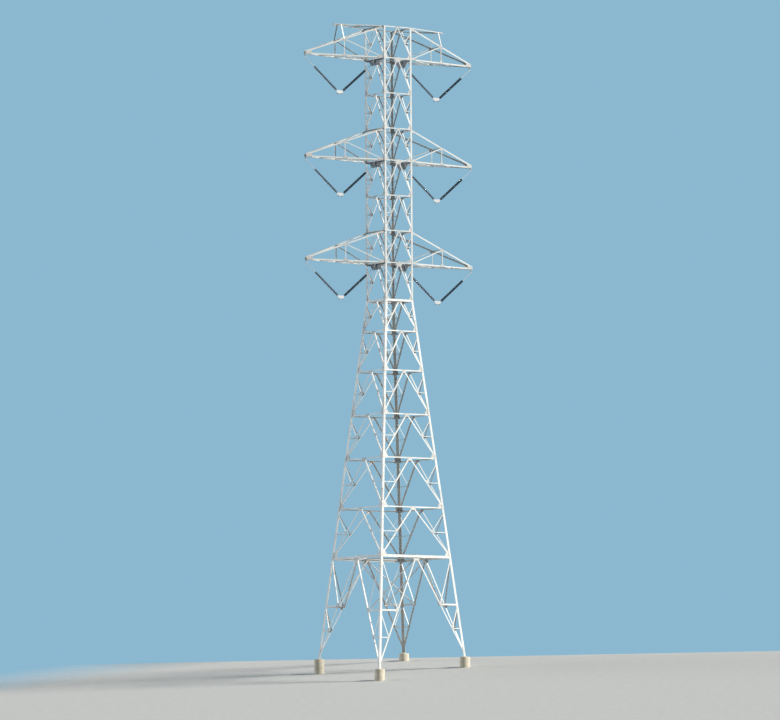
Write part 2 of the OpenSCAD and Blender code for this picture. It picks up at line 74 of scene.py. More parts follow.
# Hanger plates: how far in from the tip they hang, their thickness, and the clevis ears beside them
HANGER_IN, HANGER_T, EAR_CLEAR, EAR_T = 0.045, 0.016, 0.005, 0.01
CONDUCTOR_R = 0.009

# Sizes that follow from them

UP = Vector((0, 0, 1))
WAIST = BELT + sum(PANELS)
LEVELS = {level: WAIST + FIRST_ARM + i * ARM_PITCH for i, level in enumerate(("bottom", "middle", "top"))}
TOP = LEVELS["top"] + ARM_DEPTH
TAPER = (BASE_HALF - CAGE_HALF) / WAIST
ARM_ROOT_HALF = CAGE_HALF - CAGE_LEG_W / 2
ARM_RUN = ARM_REACH - CAGE_HALF
ARM_SPLAY = math.atan2(ARM_ROOT_HALF - ARM_TIP_HALF, ARM_RUN)
ARM_ROOT_RISE = ARM_DEPTH - CHORD_W / 2 - CHORD_UNDER
CHORD_SLOPE = (ARM_TIP_DEPTH - ARM_ROOT_RISE) / ARM_RUN
# Middle of a V-string under its crossarm, and half the distance between its two pins
STRING_MID = (CAGE_HALF + ARM_REACH) / 2
STRING_HALF = ARM_REACH - HANGER_IN - STRING_MID
SIDES = {"left": -1, "right": 1}
FACES = {"front": 0, "right": 90, "back": 180, "left": 270}
# Heights of the horizontals of the body and of the cage
BODY_LEVELS = [BELT + sum(PANELS[:i]) for i in range(len(PANELS) + 1)]
WAIST_BAR = WAIST - BRACE_W / 2 - GAP
RINGS = [low + rise for low in LEVELS.values() for rise in (0, ARM_DEPTH, (ARM_DEPTH + ARM_PITCH) / 2)
         if low + rise < TOP - CAGE_BRACE_W]
RINGS.append(TOP - CAGE_BRACE_W / 2)


def half_at(z):
    """Half the distance between two legs' outer planes at height z."""
    return BASE_HALF - TAPER * z if z < WAIST else CAGE_HALF


# Materials

class Nodes:
    """A node material under construction, with short calls for the nodes used here."""

    def __init__(self, name):
        self.material = bpy.data.materials.new(name)
        self.material.use_nodes = True
        self.tree = self.material.node_tree
        self.tree.nodes.clear()
        self.output = self.tree.nodes.new("ShaderNodeOutputMaterial")
        self.coords = self.tree.nodes.new("ShaderNodeTexCoord").outputs["Object"]

    def link(self, value, socket):
        """Joins another node's socket to this one, or sets a plain value on it."""
        if isinstance(value, bpy.types.NodeSocket):
            self.tree.links.new(value, socket)
        else:
            socket.default_value = value

    def scaled(self, factors):
        """Object coordinates, scaled along each axis."""
        node = self.tree.nodes.new("ShaderNodeMapping")
        node.inputs["Scale"].default_value = factors
        self.link(self.coords, node.inputs["Vector"])
        return node.outputs["Vector"]

    def noise(self, scale, detail=3.0, rough=0.55, vector=None):
        node = self.tree.nodes.new("ShaderNodeTexNoise")
        node.inputs["Scale"].default_value = scale
        node.inputs["Detail"].default_value = detail
        node.inputs["Roughness"].default_value = rough
        self.link(vector or self.coords, node.inputs["Vector"])
        return node.outputs["Fac"]

    def cells(self, scale, output):
        node = self.tree.nodes.new("ShaderNodeTexVoronoi")
        node.inputs["Scale"].default_value = scale
        self.link(self.coords, node.inputs["Vector"])
        return node.outputs[output]

    def ramp(self, value, low, high, to_low=0.0, to_high=1.0):
        """The value, mapped from the range low to high onto the range to_low to to_high."""
        node = self.tree.nodes.new("ShaderNodeMapRange")
        self.link(value, node.inputs["Value"])
        limits = {"From Min": low, "From Max": high, "To Min": to_low, "To Max": to_high}
        for socket, number in limits.items():
            node.inputs[socket].default_value = number
        return node.outputs["Result"]

    def math(self, operation, a, b):
        node = self.tree.nodes.new("ShaderNodeMath")
        node.operation = operation
        self.link(a, node.inputs[0])
        self.link(b, node.inputs[1])
        return node.outputs[0]

    def mix(self, amount, a, b):
        """A colour between a and b, each a socket or three numbers."""
        node = self.tree.nodes.new("ShaderNodeMix")
        node.data_type = "RGBA"
        factor, first, second = node.inputs[0], node.inputs[6], node.inputs[7]
        self.link(amount, factor)
        for socket, value in ((first, a), (second, b)):
            self.link(value if isinstance(value, bpy.types.NodeSocket) else (*value, 1.0), socket)
        return node.outputs[2]

    def stain(self, mask, strength, color, stained):
        """The colour, taken towards the stained one by a share of the mask."""
        return self.mix(self.math("MULTIPLY", mask, strength), color, stained)

    def bump(self, height, distance, strength, normal=None):
        node = self.tree.nodes.new("ShaderNodeBump")
        node.inputs["Distance"].default_value = distance
        node.inputs["Strength"].default_value = strength
        self.link(height, node.inputs["Height"])
        if normal:
            self.link(normal, node.inputs["Normal"])
        return node.outputs["Normal"]

    def upward(self):
        """How far the surface faces up, from -1 to 1."""
        geometry = self.tree.nodes.new("ShaderNodeNewGeometry")
        split = self.tree.nodes.new("ShaderNodeSeparateXYZ")
        self.link(geometry.outputs["Normal"], split.inputs[0])
        return split.outputs["Z"]

    def shader(self, color, roughness, normal, metallic=0.0, coat=0.0):
        """Sets the surface, and returns its shader's output."""
        node = self.tree.nodes.new("ShaderNodeBsdfPrincipled")
        self.link(color, node.inputs["Base Color"])
        self.link(roughness, node.inputs["Roughness"])
        self.link(normal, node.inputs["Normal"])
        node.inputs["Metallic"].default_value = metallic
        node.inputs["Coat Weight"].default_value = coat
        self.link(node.outputs["BSDF"], self.output.inputs["Surface"])
        return node.outputs["BSDF"]


RUST = (0.30, 0.17, 0.09)


def zinc(name, light, dark, metallic, spangle=150.0, rust=0.0):
    """Weathered galvanising: broad and fine tone, spangle, rain streaks down the tower and rust spots."""
    n = Nodes(name)
    broad = n.ramp(n.noise(1.1, detail=2.0), 0.35, 0.65)
    mottle = n.ramp(n.noise(22.0, detail=5.0, rough=0.6), 0.36, 0.66)
    flowers = n.ramp(n.cells(spangle, "Color"), 0.2, 0.8)
    tone = n.math("ADD", n.math("MULTIPLY", broad, 0.4), n.math("MULTIPLY", mottle, 0.4))
    tone = n.math("ADD", tone, n.math("MULTIPLY", flowers, 0.2))
    color = n.mix(tone, dark, light)
    down = n.scaled((46.0, 46.0, 2.6))
    streaks = n.ramp(n.noise(1.0, detail=4.0, rough=0.6, vector=down), 0.42, 0.72)
    color = n.stain(streaks, 0.35, color, tuple(0.62 * c for c in dark))
    if rust:
        spots = n.ramp(n.noise(9.0, detail=6.0, rough=0.7), 0.60, 0.72)
        color = n.stain(spots, rust, color, RUST)
    roughness = n.ramp(tone, 0.0, 1.0, to_low=0.62, to_high=0.42)
    normal = n.bump(n.noise(320.0), distance=0.0006, strength=0.5)
    normal = n.bump(n.noise(36.0, detail=2.0), distance=0.0015, strength=0.35, normal=normal)
    n.shader(color, roughness, normal, metallic)
    return n.material


def cast_concrete():
    """Cast concrete: cloudy tone, the levels of its lifts, rain runs, and open pores with painted shade in
    them.
    """
    n = Nodes("concrete")
    sand, pale, lift_tone, damp, pore_shade = (
        (0.66, 0.60, 0.47), (0.82, 0.77, 0.64), (0.72, 0.68, 0.58), (0.50, 0.44, 0.34), (0.30, 0.27, 0.22))
    grain = n.noise(120.0, detail=6.0, rough=0.7)
    cloud = n.ramp(n.noise(4.5, detail=4.0), 0.35, 0.68)
    level, down = n.scaled((1.2, 1.2, 9.0)), n.scaled((16.0, 16.0, 1.4))
    lifts = n.ramp(n.noise(1.0, detail=2.0, rough=0.5, vector=level), 0.4, 0.62)
    runs = n.ramp(n.noise(1.0, detail=4.0, rough=0.6, vector=down), 0.5, 0.75)
    solid = n.ramp(n.cells(70.0, "Distance"), 0.05, 0.16)
    color = n.mix(cloud, sand, pale)
    color = n.stain(lifts, 0.35, color, lift_tone)
    color = n.stain(runs, 0.4, color, damp)
    # Painted shade in the open pores
    color = n.stain(n.math("SUBTRACT", 1.0, solid), 0.7, color, pore_shade)
    normal = n.bump(grain, distance=0.003, strength=0.6)
    normal = n.bump(solid, distance=0.004, strength=0.5, normal=normal)
    normal = n.bump(lifts, distance=0.004, strength=0.3, normal=normal)
    n.shader(color, n.ramp(grain, 0.3, 0.7, to_low=0.78, to_high=0.95), normal)
    return n.material


def glazed_porcelain():
    """Dark blue-grey glaze, pooled and specked, with dust on what faces up."""
    n = Nodes("glazed_porcelain")
    thin, thick, speck, dusty = (
        (0.045, 0.062, 0.090), (0.095, 0.125, 0.165), (0.03, 0.03, 0.035), (0.34, 0.34, 0.33))
    pool = n.ramp(n.noise(14.0), 0.35, 0.65)
    specks = n.ramp(n.noise(420.0, detail=2.0), 0.60, 0.68)
    dust = n.math("MULTIPLY", n.ramp(n.upward(), 0.2, 0.95), n.ramp(n.noise(30.0, detail=4.0), 0.35, 0.7))
    color = n.mix(pool, thin, thick)
    color = n.stain(specks, 0.5, color, speck)
    color = n.stain(dust, 0.3, color, dusty)
    roughness = n.ramp(dust, 0.0, 1.0, to_low=0.16, to_high=0.5)
    n.shader(color, roughness, n.bump(n.noise(60.0, detail=2.0), distance=0.0008, strength=0.3), coat=0.3)
    return n.material


STEEL = zinc("galvanised_steel", (0.86, 0.855, 0.82), (0.62, 0.62, 0.61), metallic=0.15)
# Painted shade: a darker copy of the galvanised plate, for the plates at the crossarms' feet on the left
# and right sides, which stand in shade. Its rust spots are real.
SHADE_DARKENED_PLATE = zinc("plate_with_painted_shade", (0.36, 0.36, 0.37), (0.20, 0.20, 0.21), metallic=0.2,
                  spangle=110.0, rust=0.3)
PLATE = zinc("galvanised_plate", (0.70, 0.70, 0.68), (0.42, 0.42, 0.42), metallic=0.2,
             spangle=110.0, rust=0.15)
BOLT = zinc("galvanised_bolt", (0.62, 0.61, 0.57), (0.36, 0.36, 0.35), metallic=0.4,
            spangle=300.0, rust=0.25)
FORGED = zinc("forged_fittings", (0.80, 0.80, 0.78), (0.52, 0.52, 0.53), metallic=0.2,
              spangle=180.0, rust=0.15)
CAP_IRON = zinc("cap_iron", (0.34, 0.355, 0.37), (0.19, 0.20, 0.21), metallic=0.3,
                spangle=180.0, rust=0.25)
CONCRETE = cast_concrete()
PORCELAIN = glazed_porcelain()
SLOTS = {"galvanised_steel": STEEL, "forged_fittings": FORGED, "glazed_porcelain": PORCELAIN,
         "concrete": CONCRETE}

for part in frame["record"]["subparts"]:
    mesh = frame["nodes"][part["node"]].data
    mesh.materials.clear()
    mesh.materials.append(SLOTS[part["material_slot"]])


# Mesh building

# How far a plate or a bolt's washer sinks into what it lies on
BITE = 0.001


def spread(outline, at, u, v):
    """Points of a flat outline, laid out from a point along u and v."""
    return [at + x * u + y * v for x, y in outline]


class Piece:
    """Faces of one visible piece, gathered and then made into an object."""

    def __init__(self):
        self.verts = []
        self.faces = []

    def add(self, verts, faces):
        first = len(self.verts)
        self.verts += [tuple(v) for v in verts]
        self.faces += [[first + i for i in f] for f in faces]

    def slab(self, base, depth):
        """Plate from the points of one side, reaching by the vector depth."""
        n = len(base)
        faces = [list(range(n))[::-1], list(range(n, 2 * n))]
        faces += [[i, (i + 1) % n, n + (i + 1) % n, n + i] for i in range(n)]
        self.add(base + [p + depth for p in base], faces)

    def turned(self, at, axis, profile, segments):
        """Surface of revolution round an axis at a point, from pairs of radius and height."""
        w = axis.normalized()
        u = w.orthogonal().normalized()
        v = w.cross(u)
        verts, rings = [], []
        for r, h in profile:
            if r == 0:
                rings.append([len(verts)] * segments)
                verts.append(at + h * w)
            else:
                rings.append(list(range(len(verts), len(verts) + segments)))
                for k in range(segments):
                    a = 2 * math.pi * k / segments
                    verts.append(at + h * w + r * (math.cos(a) * u + math.sin(a) * v))
        faces = []
        for low, high in zip(rings, rings[1:]):
            for k in range(segments):
                after = (k + 1) % segments
                corners = dict.fromkeys((low[k], low[after], high[after], high[k]))
                if len(corners) > 2:
                    faces.append(list(corners))
        self.add(verts, faces)

    def rod(self, start, end, r):
        length = (end - start).length
        self.turned(start, end - start, [(0, 0), (r, 0), (r, length), (0, length)], segments=8)

    def bolt(self, at, out, r, washer=True):
        """Hexagon head on its washer, standing on a surface at a point."""
        if washer:
            rim, top = 1.45 * r, 0.15 * r
            self.turned(at, out, [(0, -BITE), (rim, -BITE), (rim, top), (0, top)], segments=12)
        side, shoulder, edge, top = 1.15 * r, 0.75 * r, 0.9 * r, 0.95 * r
        head = [(0, 0), (side, 0), (side, shoulder), (edge, top), (0, top)]
        self.turned(at, out, head, segments=6)

    def build(self, name, material, body, slot, sharp=35.0):
        """Makes the object, with edges over the angle sharp left hard, and rides it on its body."""
        mesh = bpy.data.meshes.new(name)
        mesh.from_pydata(self.verts, [], self.faces)
        bm = bmesh.new()
        bm.from_mesh(mesh)
        bmesh.ops.recalc_face_normals(bm, faces=bm.faces)
        bm.to_mesh(mesh)
        bm.free()
        for polygon in mesh.polygons:
            polygon.use_smooth = True
        mesh.set_sharp_from_angle(angle=math.radians(sharp))
        mesh.materials.append(material)
        piece = bpy.data.objects.new(name, mesh)
        bpy.context.scene.collection.objects.link(piece)
        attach(piece, body)


# The four sides

PLATE_T = 0.005
# Shares of a leg's flange at which its two rows of bolts stand
FLANGE_ROWS = (0.42, 0.78)
REDUNDANT_W, REDUNDANT_T = 0.032, 0.003

# Sizes in which the body and the cage differ, and how far their sides lean in for each metre up
Stretch = namedtuple("Stretch", "lean leg_w leg_t brace_w bolt_r redundant_bolt_r")
BODY = Stretch(TAPER, LEG_W, LEG_T, BRACE_W, bolt_r=0.010, redundant_bolt_r=0.007)
CAGE = Stretch(0.0, CAGE_LEG_W, CAGE_LEG_T, CAGE_BRACE_W, bolt_r=0.008, redundant_bolt_r=0.006)


class Side:
    """One side of the body or of the cage, with the pieces that its plates and bolts go to.

    A place on it is given by x, the height z, and the depth behind the legs' outer planes. Its bars'
    outer faces lie at the depth seat. What is laid beside them keeps trim free next to each leg's
    heel, where the next side's bars run."""

    def __init__(self, turn, stretch, plates, bolts):
        slant = math.hypot(1, stretch.lean)
        self.stretch, self.plates, self.bolts = stretch, plates, bolts
        self.spin = Matrix.Rotation(math.radians(turn), 3, "Z")
        self.across = self.spin @ Vector((1, 0, 0))
        self.up = self.spin @ (Vector((0, stretch.lean, 1)) / slant)
        self.inward = self.spin @ (Vector((0, 1, -stretch.lean)) / slant)
        self.out = self.spin @ Vector((0, -1, 0))
        self.seat = stretch.leg_t / slant
        self.trim = stretch.leg_t + stretch.brace_w + 2 * GAP

    def at(self, x, z, depth=0.0):
        return x * self.across + half_at(z) * self.out + z * UP + depth * self.inward

    def bolt(self, place, r=None):
        self.bolts.bolt(place, -self.inward, r or self.stretch.bolt_r)

    def cover(self, plates, corners):
        """Plate laid on the bars, from its corners on their outer faces."""
        plates.slab([c + BITE * self.inward for c in corners], -(PLATE_T + BITE) * self.inward)

    def from_heel(self, s, i, v):
        """Vector on this side from a leg's heel, by i along the horizontal and by v up the leg."""
        return -s * (i + self.stretch.lean * v) * self.across + v * self.up


def apex_plate(side, z, width, height, rows):
    """Plate over the meeting of two diagonals under the middle of a horizontal.

    One row of bolts holds the horizontal, and one each diagonal."""
    outline = [(-1, 0.1), (-1, -0.2), (-0.62, -1), (0.62, -1), (1, -0.2), (1, 0.1), (0.9, 0.24),
               (-0.9, 0.24)]
    across, up = width * side.across, height * side.up
    side.cover(side.plates, spread(outline, side.at(0, z, side.seat), across, up))
    face = side.at(0, z, side.seat - PLATE_T)
    for s in (-1, 1):
        for row in range(rows):
            side.bolt(face + s * (0.88 - 0.24 * row) * across)
            down = 0.28 + 0.5 * row / (rows - 1)
            side.bolt(face + s * (0.2 + 0.42 * down) * across - down * up)


def corner_plate(side, z, s, width, height, rows):
    """Plate behind a leg's flange where a horizontal and a diagonal meet the leg, with the bolts
    that show on the flange."""
    trim, w, h = side.trim, width, height
    outline = [(trim, -0.16 * h), (w, -0.16 * h), (1.05 * w, 0.1 * h), (0.8 * w, 0.62 * h), (0.5 * w, h),
               (trim, h)]
    behind = side.at(s * half_at(z), z, side.seat + BRACE_T - BITE)
    corners = [behind + side.from_heel(s, i, v) for i, v in outline]
    side.plates.slab(corners, (PLATE_T + BITE) * side.inward)
    heel = side.at(s * half_at(z), z)
    lowest, pitch, stagger = -0.06, 0.062, 0.03
    for row in range(rows):
        for lift, share in zip((0, stagger), FLANGE_ROWS):
            side.bolt(heel + side.from_heel(s, share * side.stretch.leg_w, lowest + lift + pitch * row))


def diagonal_foot(pier):
    """Foot of a leg panel's long diagonal, as its distance from the side's middle and its height."""
    z = pier + FOOT_CLEAR
    return Vector((half_at(z) - (LEG_T + BRACE_W + GAP) / 2, z))


def knee_plates(side, pier, s):
    """Plates at the knee and the lower joint of a leg panel's long diagonal, and the bolts at its foot."""
    outline = [(-1, 0.3), (-0.45, -0.34), (0.55, -0.34), (1, 0.28), (0.75, 0.75), (-0.75, 0.75)]
    bolt_places = [(-0.7, 0.1), (-0.3, 0.0), (0.35, 0.0), (0.75, 0.1), (-0.45, 0.55), (0.45, 0.55)]
    foot, belt = diagonal_foot(pier), Vector((0, BELT))
    along = (belt - foot).normalized()
    up_bar = s * along.x * side.across + along.y * side.up
    to_leg = s * along.y * side.across - along.x * side.up
    for share, size in ((0.5, 0.16), (0.25, 0.12)):
        x, z = foot + (belt - foot) * share
        u, v = size * up_bar, size * to_leg
        side.cover(side.plates, spread(outline, side.at(s * x, z, side.seat), u, v))
        for place in spread(bolt_places, side.at(s * x, z, side.seat - PLATE_T), u, v):
            side.bolt(place)
    lowest, pitch, count = -0.1, 0.07, 5
    for k in range(count):
        z = foot.y + lowest + pitch * k
        for share in FLANGE_ROWS:
            side.bolt(side.at(s * (half_at(z) - share * LEG_W), z))


def crossbeam_plate(side, plates, z):
    """Plate along the ring bar at a crossarm's foot, deeper in its middle, where the inner hanger
    and the diagonals meet."""
    end = CAGE_HALF - CAGE_LEG_W - 0.004
    top, bottom, deep = 0.028, -0.10, -0.34
    outline = [(-end, top), (-end, bottom), (-0.47, -0.12), (-0.30, deep), (0.30, deep), (0.47, -0.12),
               (end, bottom), (end, top)]
    side.cover(plates, spread(outline, side.at(0, z, side.seat), side.across, side.up))
    face = side.at(0, z, side.seat - PLATE_T)
    beam_row = [(0.72 - 0.09 * k, 0.004) for k in range(8)]
    arm_row = [(0.66, -0.07), (0.57, -0.075), (0.46, -0.09)]
    hanger_row = [(0.115, -0.20), (0.135, -0.26), (0.155, -0.31)]
    for s in (-1, 1):
        for place in spread(beam_row + arm_row + hanger_row, face, s * side.across, side.up):
            side.bolt(place)


def meet(p, along, a, b):
    """Where the line through p meets the line through a and b, all in the plane of a side."""
    line = b - a
    return p + along * (line.cross(a - p) / line.cross(along))


def redundants(side, bars, low, high):
    """Small bars of one panel, from a plate at the middle of each diagonal: one level to the leg and
    one up to it."""
    brace_w, w, t = side.stretch.brace_w, REDUNDANT_W, REDUNDANT_T
    bolt_r = side.stretch.redundant_bolt_r
    apex, corner = Vector((0, high)), Vector((half_at(low), low))
    down = (corner - apex).normalized()
    outward = Vector((-down.y, down.x))
    edge = [p + (brace_w / 2 + GAP) * outward for p in (apex, corner)]
    leg = [Vector((half_at(z) - side.trim, z)) for z in (low, high)]
    middle = (apex + corner) / 2
    top_joint = high - 0.24
    for target in (Vector((half_at(middle.y), middle.y)), Vector((half_at(high), top_joint))):
        along = (target - middle).normalized()
        across = Vector((-along.y, along.x))
        for near, far, depth, thick in ((-w / 2, w / 2, 0, t), (w / 2 - t, w / 2, t, w - t)):
            corners = [meet(middle + d * across, along, *line)
                       for d, line in ((near, edge), (near, leg), (far, leg), (far, edge))]
            for s in (-1, 1):
                bars.slab([side.at(s * c.x, c.y, side.seat + depth) for c in corners], thick * side.inward)
        start, end = meet(middle, along, *edge), meet(middle, along, *leg)
        on_plate = [start + step * along for step in (0.016, 0.04)]
        on_leg = end - 0.012 * along
        for s in (-1, 1):
            for p in on_plate:
                side.bolt(side.at(s * p.x, p.y, side.seat - PLATE_T), bolt_r)
            side.bolt(side.at(s * on_leg.x, on_leg.y), bolt_r)
    outline = [(-1.5, -0.42), (1.25, -0.42), (1.3, 0.1), (0.75, 1.25), (-0.6, 1.45), (-1.55, 0.75)]
    size = 1.25 * brace_w
    corners = spread(outline, middle, size * down, size * outward)
    diagonal_row = [middle + x * size * down for x in (-1.15, -0.4, 0.3, 0.95)]
    for s in (-1, 1):
        side.cover(side.plates, [side.at(s * c.x, c.y, side.seat) for c in corners])
        for p in diagonal_row:
            side.bolt(side.at(s * p.x, p.y, side.seat - PLATE_T), bolt_r)


def outer_angle(side, bars, z, first, last, tall, bolt_r):
    """Second angle of a double horizontal, on the outside of its gusset plates, with its bolts."""
    t, reach = 1.6 * BRACE_T, 0.35 * tall
    start = side.at(first, z - tall / 2, side.seat - PLATE_T)
    outline = [(0, 0), (tall, 0), (tall, -t), (t, -t), (t, -reach), (0, -reach)]
    bars.slab(spread(outline, start, side.up, side.inward), (last - first) * side.across)
    end_in, pitch = 0.03, 0.24
    run = last - first - 2 * end_in
    count = 2 * math.ceil(run / (2 * pitch))
    for k in range(count + 1):
        x = first + end_in + run * k / count
        side.bolt(side.at(x, z + 0.12 * tall, side.seat - PLATE_T - t), bolt_r)


def dress_body(side, doubles, small_bars):
    """What one side of the body and of the leg panels under it adds to its pieces."""
    for i, z in enumerate([*BODY_LEVELS[:-1], WAIST_BAR]):
        width = 0.24 if i == 0 else 0.19 - 0.012 * i
        apex_plate(side, z, width, 0.9 * width, rows=3)
    for i, (z, above) in enumerate(zip(BODY_LEVELS, [*BODY_LEVELS[1:-1], WAIST_BAR])):
        for s in (-1, 1):
            corner_plate(side, z, s, 0.36 - 0.02 * i, 0.34 - 0.02 * i, rows=5)
        redundants(side, small_bars, z, above)
    # The knee's second angle runs from the edge of its plate to just short of the leg
    plate_end, leg_in, tall, bolt_r = 0.1195, LEG_W + 0.012, 0.085, 0.008
    for s in (-1, 1):
        corner = side.spin @ Vector((s, -1, 0))
        pier = PIERS[(round(corner.x), round(corner.y))]
        knee_plates(side, pier, s)
        knee = (diagonal_foot(pier) + Vector((0, BELT))) / 2
        ends = sorted((s * (knee.x + plate_end), s * (half_at(knee.y) - leg_in)))
        outer_angle(side, doubles, knee.y, *ends, tall, bolt_r)
    belt_end, waist_end = half_at(BELT) - LEG_W - 0.008, CAGE_HALF - LEG_W
    for z, end, tall in ((BELT, belt_end, 0.13), (WAIST_BAR, waist_end, 0.11)):
        outer_angle(side, doubles, z, -end, end, tall, side.stretch.bolt_r)


def dress_cage(side, painted_shade_plates, small_bars, carries_arms):
    """What one side of the cage adds to its pieces."""
    for low, ring in zip([WAIST, *RINGS[:-1]], RINGS):
        at_arm = ring in LEVELS.values()
        if at_arm and carries_arms:
            # The plate at a crossarm's foot takes the darker plate, which has painted shade in its colour
            crossbeam_plate(side, painted_shade_plates, ring)
        elif at_arm:
            apex_plate(side, ring, 0.20, 0.19, rows=2)
        else:
            apex_plate(side, ring, 0.12, 0.11, rows=2)
        redundants(side, small_bars, low, ring)
        for s in (-1, 1):
            corner_plate(side, low, s, 0.24, 0.24, rows=4)


for face, turn in FACES.items():
    plates, bolts, doubles, small_bars, painted_shade_plates = (Piece() for _ in range(5))
    dress_body(Side(turn, BODY, plates, bolts), doubles, small_bars)
    dress_cage(Side(turn, CAGE, plates, bolts), painted_shade_plates, small_bars, carries_arms=face in SIDES)
    doubles.build(f"double_horizontals_{face}", STEEL, "tower", "galvanised_steel")
    small_bars.build(f"redundants_{face}", STEEL, "tower", "galvanised_steel")
    # Plates at the crossarms' feet, darkened by painted shade
    if painted_shade_plates.verts:
        painted_shade_plates.build(f"crossbeam_plates_{face}", SHADE_DARKENED_PLATE, "tower", "galvanised_steel")
    plates.build(f"gussets_{face}", PLATE, "tower", "galvanised_steel")
    bolts.build(f"bolts_{face}", BOLT, "tower", "galvanised_steel")


# Leg splices, step bolts and grout

SPLICE_T = 0.007
# Shares of a leg's flange at which a splice's two rows of bolts stand
SPLICE_ROWS = (0.3, 0.7)
# Middle and half the length of each splice of a body leg
SPLICES = ((BODY_LEVELS[1] + 0.6, 0.32), (BODY_LEVELS[3] + 0.55, 0.32), (BODY_LEVELS[5] + 0.43, 0.2))
STEP_FIRST, STEP_PITCH, STEP_LEN, STEP_R = 2.6, 0.2, 0.075, 0.0045
GROUT = [(0.16, -0.004), (0.158, 0.006), (0.135, 0.022), (0.10, 0.034), (0, 0.040)]


def leg_splice(side, s, z, half_len):
    """Plate over the joint of two lengths of a leg, on one of its flanges, with two rows of bolts."""
    near, far = 0.006, LEG_W - 0.008
    outline = [(near, -half_len), (far, -half_len), (far, half_len), (near, half_len)]
    heel = side.at(s * half_at(z), z, BITE)
    corners = [heel + side.from_heel(s, i, v) for i, v in outline]
    side.plates.slab(corners, -(SPLICE_T + BITE) * side.inward)
    face = side.at(s * half_at(z), z, -SPLICE_T)
    end_in, rows = 0.045, 8
    for k in range(rows):
        v = -half_len + end_in + 2 * (half_len - end_in) * k / (rows - 1)
        for share in SPLICE_ROWS:
            side.bolt(face + side.from_heel(s, share * LEG_W, v))


def step_bolts(name, sx, sy):
    """Climbing steps up one corner, on its two flanges by turns."""
    steps = Piece()
    head = [(0, 0), (0.0085, 0), (0.0085, 0.004), (0, 0.006)]
    top_clear, sunk = 0.3, 0.012
    for k in range(math.ceil((TOP - top_clear - STEP_FIRST) / STEP_PITCH)):
        z = STEP_FIRST + k * STEP_PITCH
        half = half_at(z)
        middle = half - 0.35 * (LEG_W if z < WAIST else CAGE_LEG_W)
        if k % 2:
            start, out = Vector((sx * half, sy * middle, z)), Vector((sx, 0, 0))
        else:
            start, out = Vector((sx * middle, sy * half, z)), Vector((0, sy, 0))
        steps.rod(start - sunk * out, start + STEP_LEN * out, STEP_R)
        steps.bolt(start, out, 1.8 * STEP_R, washer=False)
        steps.turned(start + STEP_LEN * out, out, head, segments=8)
    steps.build(f"step_bolts_{name}", BOLT, "tower", "galvanised_steel")


splices, splice_bolts = Piece(), Piece()
for turn in FACES.values():
    side = Side(turn, BODY, splices, splice_bolts)
    for s in (-1, 1):
        for z, half_len in SPLICES:
            leg_splice(side, s, z, half_len)
splices.build("leg_splices", STEEL, "tower", "galvanised_steel")
splice_bolts.build("leg_splice_bolts", BOLT, "tower", "galvanised_steel")

step_bolts("front_left", -1, -1)
step_bolts("back_right", 1, 1)

grout = Piece()
for (sx, sy), top in PIERS.items():
    from_axis = half_at(top) - 0.45 * LEG_W
    grout.turned(Vector((sx * from_axis, sy * from_axis, top)), UP, GROUT, segments=28)
grout.build("grout_collars", CONCRETE, "tower", "concrete")


# Crossarm plates

# Size of the bolts near a plate's corners, and their share of the way there from the plate's middle
ARM_BOLT, ARM_BOLT_SHARE = 0.007, 0.72
# Distances along an upright side's lower chord, from the cage to the post and to the tip
ARM_POST = (STRING_MID - CAGE_HALF) / math.cos(ARM_SPLAY)
ARM_TIP = ARM_RUN / math.cos(ARM_SPLAY)
POST_RISE = ARM_ROOT_RISE + CHORD_SLOPE * (STRING_MID - CAGE_HALF)
# Each plate's place along an upright side and above its lower chord, and its outline
ARM_PLATES = (
    (ARM_POST, 0,
     [(-0.13, -0.028), (0.13, -0.028), (0.13, 0.02), (0.05, 0.13), (-0.05, 0.13), (-0.13, 0.02)]),
    (ARM_POST, POST_RISE, [(-0.16, 0.09), (-0.11, -0.10), (0.04, -0.12), (0.15, -0.07), (0.12, -0.015)]),
    (0.10, 0, [(-0.04, -0.028), (0.26, -0.028), (0.26, 0.02), (0.18, 0.12), (-0.04, 0.12)]),
    (0.09, ARM_ROOT_RISE + 0.09 * CHORD_SLOPE,
     [(-0.04, 0.03), (-0.04, -0.075), (0.10, -0.10), (0.24, -0.118), (0.24, -0.065)]),
    (ARM_TIP - 0.2, 0.04, [(-0.16, -0.068), (0.19, -0.068), (0.19, 0.07), (-0.16, 0.13)]),
)


def arm_plates(level, side_name, side):
    """Plates and bolts on the two upright sides of one crossarm."""
    plates, bolts = Piece(), Piece()
    for flip in (-1, 1):
        root = Vector((side * CAGE_HALF, flip * ARM_ROOT_HALF, LEVELS[level]))
        along = Vector((side * math.cos(ARM_SPLAY), -flip * math.sin(ARM_SPLAY), 0))
        inward = Vector((-side * math.sin(ARM_SPLAY), -flip * math.cos(ARM_SPLAY), 0))
        for x, y, outline in ARM_PLATES:
            at = root + x * along + y * UP
            plates.slab(spread(outline, at + BITE * inward, along, UP), -PLATE_T * inward)
            corners = [Vector(corner) for corner in outline]
            middle = sum(corners, Vector((0, 0))) / len(corners)
            places = [middle.lerp(corner, ARM_BOLT_SHARE) for corner in corners]
            for place in spread(places, at - (PLATE_T - BITE) * inward, along, UP):
                bolts.bolt(place, -inward, ARM_BOLT)
    plates.build(f"arm_plates_{level}_{side_name}", PLATE, "tower", "galvanised_steel")
    bolts.build(f"arm_bolts_{level}_{side_name}", BOLT, "tower", "galvanised_steel")


for level in LEVELS:
    for side_name, side in SIDES.items():
        arm_plates(level, side_name, side)


# Insulator strings

